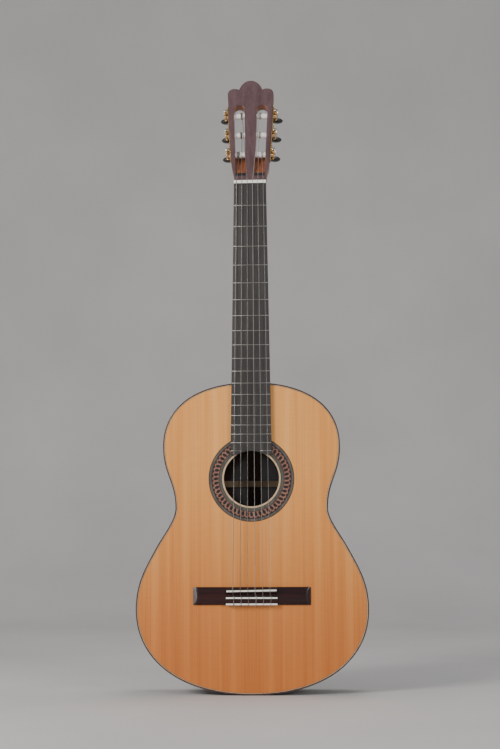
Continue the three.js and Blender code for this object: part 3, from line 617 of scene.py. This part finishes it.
def build_bridge():
    low, high = BRIDGE_LOW.z, BRIDGE_HIGH.z
    tie = [(FACE - 1, low + 0.2), (TIE_TOP, low + 0.2), (TIE_TOP, TIE_FRONT_Z), (FACE - 1, TIE_FRONT_Z)]
    rest = [
        (FACE - 1, TIE_FRONT_Z - 1),
        (FACE - 4.4, TIE_FRONT_Z - 1),
        (FACE - 4.4, TIE_FRONT_Z + 4.2),
        (FACE - 8.2, TIE_FRONT_Z + 6.4),
        (FACE - 9, TIE_FRONT_Z + 8.5),
        (FACE - 9, TIE_FRONT_Z + 12),
        (FACE - 8.2, TIE_FRONT_Z + 13.4),
        (FACE - 5.4, high - 0.2),
        (FACE - 1, high - 0.2),
    ]
    bores = []
    for index, radius in enumerate(STRING_RADII):
        x = bridge_x(index)
        route = [(x, STRING_HOLE_Y, low - 3), (x, STRING_HOLE_Y, TIE_FRONT_Z + 3)]
        bores.append(tube_mesh(route, radius + 0.45, 16))
    block = cut(side_prism(tie, -BLOCK_HALF, BLOCK_HALF, 0.5), *bores)
    piece("bridge_base", bridge_wings(), "bridge", replaces=["bridge"], sharp=24)
    piece("bridge_tie_block", block, "bridge")
    saddle_low, saddle_high = node_box("saddle")
    slot = box_mesh((-39.8, -70, -1.4), (39.8, FACE - 2.1, 1.4), 0, saddle_frame())
    rest_block = cut(side_prism(rest, -BLOCK_HALF, BLOCK_HALF, 0.4), slot)
    piece("bridge_saddle_block", rest_block, "bridge")
    blade = box_mesh((-39.5, saddle_low.y, -1.25), (39.5, saddle_high.y, 1.25), 0.5, saddle_frame())
    piece("saddle_bone", blade, "bone", replaces=["saddle"])
    for name in ("tie_inlay_front", "tie_inlay_rear"):
        strip_low, strip_high = node_box(name)
        strip_high.y = TIE_TOP + 0.3
        mesh = box_mesh(strip_low, strip_high, 0.3)
        piece(f"{name}_bone", mesh, "bone", replaces=[name])


SADDLE_Z = NUT_Z - SCALE_LENGTH - 3.4
SADDLE_SLANT = math.radians(-1)


def saddle_frame():
    return Matrix.Translation((0, 0, SADDLE_Z)) @ Matrix.Rotation(SADDLE_SLANT, 4, "Y")


# ---- Neck and head ----
def neck_half_width(z):
    return NUT_HALF + (NUT_Z - z) * (JOINT_HALF - NUT_HALF) / (NUT_Z - JOINT_Z)


def neck_ring(half, depth, flat, power, place, count=14):
    """A section of the neck: straight front, rounded back. Flat is the half width left at the very back."""
    right = []
    for i in range(count + 1):
        q = math.sin(math.pi / 2 * i / count)
        rounded = half * max(1 - q**power, 0) ** (1 / power)
        right.append((rounded, q))
    heel = [(flat + (half - flat) * (1 - q) ** 2.1 * (1 + 1.4 * q), q) for _, q in right]
    share = flat / HEEL_FLAT
    sides = [((1 - share) * a[0] + share * min(b[0], half), a[1]) for a, b in zip(right, heel)]
    ring = [place(x, depth * q) for x, q in sides]
    ring += [place(-x, depth * q) for x, q in reversed(sides)]
    return ring


def upright_ring(z, depth, flat):
    """A level section of the neck at a height."""
    def place(x, q):
        return (x, FACE + q, z)

    return neck_ring(neck_half_width(z), depth, flat, 2, place)


def build_neck():
    heel_back = BACK_FACE - 3
    tip = 513
    rings = []
    for z in (485, 495, 505, tip - 2):
        rings.append(upright_ring(z, heel_back - FACE, HEEL_FLAT))
    run = interpolate_bezier(
        Vector((heel_back, tip)), Vector((20, 526)), Vector((-30, 530)), Vector((FACE + 17.9, 612)), 28
    )
    for i, spot in enumerate(run):
        share = max(1 - i / 17, 0)
        flat = HEEL_FLAT * share * share * (3 - 2 * share)
        shaft = 16 + (NUT_Z - spot.y) * 3 / (NUT_Z - JOINT_Z)
        depth = max(spot.x - FACE, shaft)
        rings.append(upright_ring(spot.y, depth, flat))
    for z in (640, 700, 760, 806):
        depth = 16 + (NUT_Z - z) * 3 / (NUT_Z - JOINT_Z)
        rings.append(upright_ring(z, depth, 0))
    for up, power in ((0.5, 2.8), (4, 4.4), (8, 7), (12, 12)):
        def in_head(x, q, up=up):
            return HEAD @ Vector((x, 3 + q, up))

        rings.append(neck_ring(26.1 + 0.05 * up, HEAD_THICK - 3, 0, power, in_head))
    piece("neck_shaft", loft_mesh(rings), "cedar", replaces=["neck"], sharp=40)
    half_cap = [(12.6, BODY_LENGTH + 0.25), (12.2, BODY_LENGTH + 8), (9.5, BODY_LENGTH + 15), (5, tip - 0.4)]
    cap = half_cap + [(0, tip)] + [(-x, z) for x, z in reversed(half_cap)]
    mesh = plate_mesh([cap], BACK_FACE - 3, BACK_FACE, 0.4)
    piece("heel_cap_plate", mesh, "rosewood", replaces=["heel_cap"])


def head_outline(foot):
    """The head's outline: straight flared sides, and a wide middle lobe between two round shoulders."""
    stretches = [
        ((26.5, 8), (27, 18), (29.2, 19), (30.4, 28)),
        ((38, 155), (38.6, 166), (31, 168), (26, 167.6)),
        ((26, 167.6), (24, 167.5), (21, 167), (19.6, 165.6)),
        ((19.6, 165.6), (18.6, 167.2), (18, 168.6), (17.2, 170.3)),
        ((17.2, 170.3), (13.6, 177.6), (7.6, 182.4), (0, 182.4)),
    ]
    half = [(0, foot), (26.2, foot)]
    for stretch in stretches:
        half += [(p.x, p.y) for p in interpolate_bezier(*[Vector(q) for q in stretch], 14)]
    clean = [half[0]]
    for point in half[1:]:
        if (Vector(point) - Vector(clean[-1])).length > 0.05:
            clean.append(point)
    return mirrored(clean)


RAMP_START = 9.5
RAMP_SLOPE = math.tan(math.radians(23.5))
SLOT_TOP = 129


def slot_edges(up):
    share = (up - RAMP_START) / (SLOT_TOP - RAMP_START)
    return 7.2 + 2.8 * share, 23.3 + 4.5 * share


def slot_loop(side):
    inner, outer = slot_edges(RAMP_START)
    loop = [(inner, RAMP_START), (outer, RAMP_START)]
    for i in range(25):
        turn = math.pi * i / 24
        loop.append((18.9 + 8.9 * math.cos(turn), SLOT_TOP + 8.9 * math.sin(turn)))
    return [(side * x, z) for x, z in loop]


def ramp_wedge(side, front, back):
    """The ramp's wood between two depths: it fills the slot's lower end behind a sloping face."""
    start = RAMP_START + front / RAMP_SLOPE
    end = RAMP_START + back / RAMP_SLOPE
    corners = [(front, RAMP_START - 0.5), (back, RAMP_START - 0.5), (back, end), (front, start)]
    points = []
    for edge in (0, 1):
        for depth, up in corners:
            reach = slot_edges(up)[edge] + (0.4 if edge else -0.4)
            points.append((side * reach, depth, up))
    faces = [(0, 1, 2, 3), (4, 7, 6, 5)]
    faces += [(i, (i + 4), (i + 1) % 4 + 4, (i + 1) % 4) for i in range(4)]
    return mesh_of(points, faces, HEAD)


def build_head():
    slots = [slot_loop(1), slot_loop(-1)]
    core = plate_mesh([head_outline(6)] + slots, VENEER_THICK + 0.1, HEAD_THICK, 0.7, HEAD)
    bores = []
    for k in range(1, 7):
        place = tuner_frame(k)
        bores.append(lathe_mesh([(-29.5, 5.05), (1.5, 5.05)], place, 40))
    piece("head_core", cut(core, *bores), "cedar")
    veneer = plate_mesh([head_outline(0.9)] + slots, 0, VENEER_THICK, 0.35, HEAD)
    piece("head_face", veneer, "head", replaces=["head_veneer"])
    for side, name in ((1, "treble"), (-1, "bass")):
        piece(f"ramp_core_{name}", ramp_wedge(side, 2.9, HEAD_THICK - 0.3), "cedar")
        piece(f"ramp_face_{name}", ramp_wedge(side, 0.35, 2.85), "black_wood")


def build_fretboard():
    end_z, arc = node_box("fretboard")[0].z, HOLE_RADIUS - 0.2
    corner = math.acos((end_z - HOLE_Z) / arc)
    loop = [(neck_half_width(end_z), end_z), (NUT_HALF, NUT_Z - 0.05)]
    loop += [(-NUT_HALF, NUT_Z - 0.05), (-neck_half_width(end_z), end_z)]
    for i in range(25):
        turn = math.pi / 2 + corner - 2 * corner * i / 24
        loop.append((arc * math.cos(turn), HOLE_Z + arc * math.sin(turn)))
    mesh = plate_mesh([loop], FINGERBOARD_FACE, FACE, 0.4)
    piece("fingerboard", mesh, "ebony", replaces=["fretboard"])
    for fret in range(1, FRET_COUNT + 1):
        z = NUT_Z - SCALE_LENGTH * (1 - 2 ** (-fret / 12))
        half = neck_half_width(z) - 0.15
        spans = [(-half, half)] if fret < FRET_COUNT else [(-half, -14.5), (14.5, half)]
        for part, (left, right) in enumerate(spans):
            mesh = fret_mesh(left, right, z)
            piece(f"fret_{fret:02d}" + ("_b" if part else ""), mesh, "fret_wire", sharp=60)


def fret_mesh(left, right, z):
    """A fret: a crowned wire whose ends are filed to a slope."""
    rings = []
    for x, size in ((left, 0.25), (left + 0.9, 1), (right - 0.9, 1), (right, 0.25)):
        ring = [(x, FINGERBOARD_FACE + 0.5, z - 0.8), (x, FINGERBOARD_FACE - 0.1, z - 0.8)]
        for i in range(1, 10):
            turn = math.pi * i / 10
            crown = FINGERBOARD_FACE - 0.1 - 0.95 * size * math.sin(turn)
            ring.append((x, crown, z - 0.8 * math.cos(turn)))
        ring += [(x, FINGERBOARD_FACE - 0.1, z + 0.8), (x, FINGERBOARD_FACE + 0.5, z + 0.8)]
        rings.append(ring)
    return loft_mesh(rings)


def nut_x(index):
    return STRING_STEP_NUT * (2.5 - index)


NUT_STRING_Y = FACE - 9.05


def build_nut():
    low, high = node_box("nut")
    top = FACE - 9.2
    profile = [(FACE, low.z), (top, low.z), (top, low.z + 1.6), (top + 1.4, high.z), (FACE, high.z)]
    mesh = side_prism(profile, -NUT_HALF, NUT_HALF, 0.35)
    grooves = []
    for index, radius in enumerate(STRING_RADII):
        x = nut_x(index)
        route = [(x, NUT_STRING_Y - 0.02, low.z - 3), (x, NUT_STRING_Y - 0.02, high.z + 3)]
        grooves.append(tube_mesh(route, radius + 0.12, 14))
        reach = radius + 0.12
        grooves.append(box_mesh((x - reach, top - 3, low.z - 3), (x + reach, NUT_STRING_Y, high.z + 3)))
    piece("nut_bone", cut(mesh, *grooves), "bone", replaces=["nut"])


# ---- Tuners ----
JOINTS = {joint["name"]: joint for joint in frame["joints"]}


def tuner_frame(k):
    """Frame of one tuner: X out along the roller's axis, Y back along the worm, Z up the head's side.
    Its origin is on the roller's axis, level with the head's side."""
    roller, worm = JOINTS[f"tuner_{k}_roller_turn"], JOINTS[f"tuner_{k}_button_turn"]
    out = Vector(roller["axis"]).normalized()
    back = Vector(worm["axis"]).normalized()
    back = (back - out * back.dot(out)).normalized()
    up = out.cross(back)
    if up.z < 0:
        up = -up
    turn = Matrix((out, back, up)).transposed().to_4x4()
    return Matrix.Translation(Vector(roller["pos_m"]) / MM) @ turn


ROLLER_DEEP = 9.75


def gear_mesh(matrix):
    """Brass gear with rounded teeth that lean to follow the worm."""
    pitch = 2 * math.pi * 6 / GEAR_TEETH
    lean = pitch / (2 * math.pi * 2.6) / 6
    flank = [(5.1, -0.12), (5.8, -0.085), (6.42, -0.04)]
    rings = []
    for x, shrink in ((-1.5, 0.12), (-1.35, 0), (1.35, 0), (1.5, 0.12)):
        ring = []
        for tooth in range(GEAR_TEETH):
            middle = (tooth + 0.5) * 2 * math.pi / GEAR_TEETH - lean * x
            for radius, turn in flank + [(radius, -turn) for radius, turn in reversed(flank)]:
                size = radius - shrink
                ring.append((WORM_OUT + x, size * math.sin(middle + turn), size * math.cos(middle + turn)))
        rings.append(ring)
    return loft_mesh(rings, matrix)


def thread_mesh(matrix):
    """The worm's thread: a tapering ridge along a helix."""
    pitch = 2 * math.pi * 6 / GEAR_TEETH
    turns, steps = 3.2, 24
    rings = []
    count = int(turns * steps)
    for i in range(count + 1):
        angle = math.pi + (i / count - 0.5) * turns * 2 * math.pi
        fade = min(1, 6 * i / count, 6 * (count - i) / count)
        tip = 1.75 + 1.37 * max(fade, 0.05)
        base = pitch * (angle - math.pi) / (2 * math.pi)
        ring = []
        flank = [(1.55, -0.68), (tip - 0.1, -0.3), (tip, -0.18)]
        for radius, shift in flank + [(radius, -shift) for radius, shift in reversed(flank)]:
            out, rise = radius * math.sin(angle), radius * math.cos(angle)
            ring.append((WORM_OUT + out, base + shift, WORM_RISE + rise))
        rings.append(ring)
    return loft_mesh(rings, matrix)


def turned(profile, matrix, sides=32, squash=1.0):
    """A turned piece about the worm's axis: the profile is (depth behind the head's face, radius)."""
    along_y = Matrix(((0, 1, 0, 0), (1, 0, 0, 0), (0, 0, 1, 0), (0, 0, 0, 1)))
    shift = Matrix.Translation((WORM_OUT, -ROLLER_DEEP, WORM_RISE))
    return lathe_mesh(profile, matrix @ shift @ along_y, sides, squash)


def screw_mesh(x, y, z, radius, matrix):
    """A round-headed screw with a slot, its axis along the frame's X."""
    dome = [(-0.6, 1), (0.3, 1), (0.7, 0.8), (0.95, 0.45), (1.0, 0)]
    profile = [(x + step, radius * share) for step, share in dome]
    shift = matrix @ Matrix.Translation((0, y, z))
    head = lathe_mesh(profile, shift, 20)
    slot = box_mesh((x + 0.55, -radius * 1.1, -0.16), (x + 1.4, radius * 1.1, 0.16), 0, shift)
    return cut(head, slot)


def build_tuner(k):
    place = tuner_frame(k)
    knob, spool = f"tuner_{k}_knob", f"tuner_{k}_spool"
    barrel = [(-29, 0), (-29, 4.3), (-28.6, ROLLER_RADIUS), (-0.7, ROLLER_RADIUS), (-0.3, 4.4)]
    barrel += [(-0.3, 2.6), (3.8, 2.6), (3.8, 0)]
    barrel_mesh = lathe_mesh(barrel, place, 40)
    eye = tube_mesh([(-16, -8, 0), (-16, 8, 0)], 1.1, 14, place)
    piece(f"tuner_{k}_barrel", cut(barrel_mesh, eye), "roller", spool, [f"tuner_{k}_roller"])
    piece(f"tuner_{k}_cog", gear_mesh(place), "brass", spool, [f"tuner_{k}_gear"], sharp=40)
    piece(f"tuner_{k}_cog_screw", screw_mesh(7.5, 0, 0, 2.3, place), "nickel", spool)
    shaft = [(1.2, 0), (1.2, 2.1), (1.45, 2.5), (2.1, 2.5), (2.3, 2.2), (2.3, 1.8), (19.5, 1.8), (20.2, 2.5)]
    shaft += [(21.4, 2.5), (22, 1.9), (30.5, 1.7), (31.4, 2.4), (33.1, 2.4), (33.1, 0)]
    worm = joined(turned(shaft, place, 28), thread_mesh(place))
    piece(f"tuner_{k}_worm", worm, "nickel", knob, [f"tuner_{k}_worm_shaft"], sharp=40)
    button = [(33.3, 0), (33.3, 3.6), (34.2, 4.4), (35.4, 6.4), (36.8, 8.3), (38.6, 9.5), (40.6, 10)]
    button += [(42.6, 9.7), (44.4, 8.6), (45.8, 6.9), (46.7, 4.6), (47.1, 2.2), (47.3, 0)]
    oval = turned(button, place, 40, BUTTON_SQUASH)
    piece(f"tuner_{k}_oval_button", oval, "black", knob, [f"tuner_{k}_button"], sharp=60)


def build_plate(side, strings):
    """A side plate with rounded ends, its screws, and two ears round each worm."""
    frames = [tuner_frame(k) for k in strings]
    base = frames[0]
    up = [(base.inverted() @ each.translation).z for each in frames]
    ends = (-11, up[-1] + 17)
    half = 8.2
    outline = []
    for centre, start in (((half - 3.5, ends[1] - 3.5), 0), ((-half + 3.5, ends[1] - 3.5), 1),
                          ((-half + 3.5, ends[0] + 3.5), 2), ((half - 3.5, ends[0] + 3.5), 3)):
        for i in range(9):
            turn = math.pi / 2 * (start + i / 8)
            outline.append((centre[0] + 3.5 * math.cos(turn), centre[1] + 3.5 * math.sin(turn)))
    holes = [circle(2.9, 0, height, 32) for height in up]
    spread = Matrix(((0, 1, 0, 0), (1, 0, 0, 0), (0, 0, 1, 0), (0, 0, 0, 1)))
    plate = plate_mesh([outline] + holes, 0.3, 1.7, 0.25, base @ spread)
    ears = []
    for height in up:
        worm = height + WORM_RISE
        for front in (2.6, 15.1):
            loop = [(1.2, worm - 3)]
            for i in range(17):
                turn = math.pi * i / 16
                loop.append((WORM_OUT + 3 * math.sin(turn), worm - 3 * math.cos(turn)))
            loop += [(1.2, worm + 3)]
            depth = (front - ROLLER_DEEP, front + 1.8 - ROLLER_DEEP)
            ears.append(plate_mesh([loop, circle(2.1, WORM_OUT, worm, 32)], *depth, 0.25, base))
    whole = joined(plate, *ears)
    piece(f"side_plate_{side}", whole, "brass", replaces=[f"tuner_plate_{side}"], sharp=40)
    for i, height in enumerate((ends[0] + 4, up[0] + 20, up[1] + 20, ends[1] - 3.6)):
        for j, y in enumerate((-5.2, 5.2) if i in (1, 2) else (0,)):
            screw = screw_mesh(1.8, y, height, 1.6, base)
            piece(f"plate_screw_{side}_{i}{j}", screw, "brass")


# ---- Strings ----
COIL_TURNS = 2.4
COIL_STARTS = (-13.7, -19.8, -21.9)
SADDLE_STRING_Y = FACE - 14.4


def string_route(index):
    """From the tail of its knot over the bridge, by saddle and nut, to the coil on its roller."""
    radius = STRING_RADII[index]
    x = bridge_x(index)
    saddle_z = SADDLE_Z - x * math.tan(SADDLE_SLANT)
    nut = Vector((nut_x(index), NUT_STRING_Y, NUT_Z + 2.6))
    tie = [
        (x + 1.9, FACE - 9.2, 154.6),
        (x + 1.8, FACE - 10.4, 153.1),
        (x + 1.2, FACE - 10.6, 146.5),
        (x + 0.6, FACE - 10.5, 140),
        (x + 0.2, FACE - 9.2, 138.3),
        (x, FACE - 7, 138.2),
        (x, STRING_HOLE_Y, 139.4),
    ]
    route = rounded(tie) + [
        Vector((x, STRING_HOLE_Y, 153.2)),
        Vector((x, FACE - 6.8, 154.6)),
        Vector((x, SADDLE_STRING_Y - 0.05, saddle_z - 2.1)),
        Vector((x, SADDLE_STRING_Y, saddle_z + 0.9)),
        Vector((nut_x(index), NUT_STRING_Y, NUT_Z - 0.6)),
        nut,
    ]
    treble = index < 3
    seat = index if treble else 5 - index
    place = tuner_frame(index + 1)
    start = place.inverted() @ nut
    wind = ROLLER_RADIUS + 0.35 + radius
    first = math.atan2(-start.y, -start.z) - math.asin(wind / math.hypot(start.y, start.z))
    steps = 28
    for i in range(int(COIL_TURNS * steps) + 1):
        turned_by = 2 * math.pi * i / steps
        out = COIL_STARTS[seat] + (2 * radius + 0.4) * turned_by / (2 * math.pi)
        back = -wind * math.cos(first + turned_by)
        up = wind * math.sin(first + turned_by)
        route.append(place @ Vector((out, back, up)))
    return route


def rounded(points, steps=5):
    """Points joined by a smooth curve through them."""
    spots = [Vector(p) for p in points]
    smooth = []
    for i in range(len(spots) - 1):
        before, after = spots[max(i - 1, 0)], spots[min(i + 2, len(spots) - 1)]
        one, two = spots[i], spots[i + 1]
        run = interpolate_bezier(one, one + (two - before) / 6, two - (after - one) / 6, two, steps + 1)
        smooth += run[:-1]
    return smooth + [spots[-1]]


def build_strings():
    for index, radius in enumerate(STRING_RADII):
        treble = index < 3
        mesh = tube_mesh(string_route(index), radius, 12)
        stuff, slot = ("nylon", "nylon") if treble else ("wound", "wound_string")
        piece(f"string_line_{index + 1}", mesh, stuff, replaces=[f"string_{index + 1}"], sharp=50)


INSIDE_STUFF = {"tail_block": "cedar", "back_centre_strip": "back_strip"}


def dress_inside():
    """The braces, linings and blocks keep their CAD shape and get bare wood."""
    bare = ["lining_top", "lining_back", "soundhole_patch", "fan_bracing", "back_centre_strip"]
    bare += [f"harmonic_bar_{place}" for place in ("upper", "lower")]
    bare += [f"back_brace_{place}" for place in ("lower", "middle", "upper")]
    for name in bare + ["tail_block"]:
        mesh = frame["nodes"][name].data
        stuff = STUFF[INSIDE_STUFF.get(name, "bare_spruce")]
        if mesh.materials:
            mesh.materials[0] = stuff
        else:
            mesh.materials.append(stuff)


# ---- Studio ----
def build_studio():
    floor_stuff, tree, shader = blank_material("studio_floor", Roughness=0.8)
    place = object_coordinates(tree)
    drift = noise(tree, place, (2, 2, 2), 3)
    tone = ramp(tree, drift, [(0.3, srgb(196, 193, 190)), (0.7, srgb(206, 203, 200))])
    tree.links.new(tone, shader.inputs["Base Color"])
    width, front, bend, back, top = 6.0, -5.0, 1.6, 3.0, 5.0
    profile = [(front, 0), (bend, 0)]
    for i in range(1, 17):
        turn = math.pi / 2 * i / 16
        profile.append((bend + (back - bend) * math.sin(turn), (back - bend) * (1 - math.cos(turn))))
    profile.append((back, top))
    points = [(x, y, z - 0.0005) for y, z in profile for x in (-width, width)]
    faces = [(2 * i, 2 * i + 1, 2 * i + 3, 2 * i + 2) for i in range(len(profile) - 1)]
    mesh = bpy.data.meshes.new("studio_floor")
    mesh.from_pydata(points, [], faces)
    for face in mesh.polygons:
        face.use_smooth = True
    mesh.materials.append(floor_stuff)
    floor = bpy.data.objects.new("studio_floor", mesh)
    bpy.context.scene.collection.objects.link(floor)

    world = bpy.data.worlds.new("studio")
    world.use_nodes = True
    world.node_tree.nodes["Background"].inputs["Color"].default_value = (0.92, 0.95, 1, 1)
    world.node_tree.nodes["Background"].inputs["Strength"].default_value = 0.42
    bpy.context.scene.world = world
    lamps = [
        ("key", (-1.7, -2.0, 1.5), 0.9, 52, (1, 0.98, 0.95)),
        ("low_left", (-2.2, -1.5, 0.2), 0.7, 16, (1, 0.98, 0.96)),
        ("fill", (2.0, -2.2, 0.9), 1.0, 24, (0.97, 0.98, 1)),
        ("top", (0.3, 0.4, 2.4), 0.9, 10, (1, 1, 1)),
    ]
    for name, place, size, power, colour in lamps:
        light = bpy.data.lights.new(name, "AREA")
        light.size = size
        light.energy = power
        light.color = colour
        lamp = bpy.data.objects.new(name, light)
        lamp.location = place
        aim = Vector((0, 0, 0.45)) - lamp.location
        lamp.rotation_euler = aim.to_track_quat("-Z", "Y").to_euler()
        bpy.context.scene.collection.objects.link(lamp)


def build_camera():
    """A long lens low in front of the guitar, looking up a little."""
    data = bpy.data.cameras.new("camera")
    data.lens = 72.1
    data.sensor_width = 36
    camera = bpy.data.objects.new("camera", data)
    bpy.context.scene.collection.objects.link(camera)
    upright = Matrix.Rotation(math.pi / 2, 4, "X")
    centre = Matrix.Translation((0, FACE * MM, 0))
    orbit = centre @ Matrix.Rotation(CAMERA_ORBIT, 4, "Z") @ centre.inverted()
    pitch = Matrix.Rotation(CAMERA_PITCH, 4, "X")
    roll = Matrix.Rotation(CAMERA_ROLL, 4, "Y")
    camera.matrix_world = orbit @ Matrix.Translation(CAMERA_PLACE) @ pitch @ roll @ upright
    bpy.context.scene.camera = camera


build_camera()
build_studio()
build_body()
build_rosette()
build_bridge()
build_neck()
build_head()
build_fretboard()
build_nut()
for number in range(1, 7):
    build_tuner(number)
build_plate("treble", (1, 2, 3))
build_plate("bass", (6, 5, 4))
build_strings()
dress_inside()
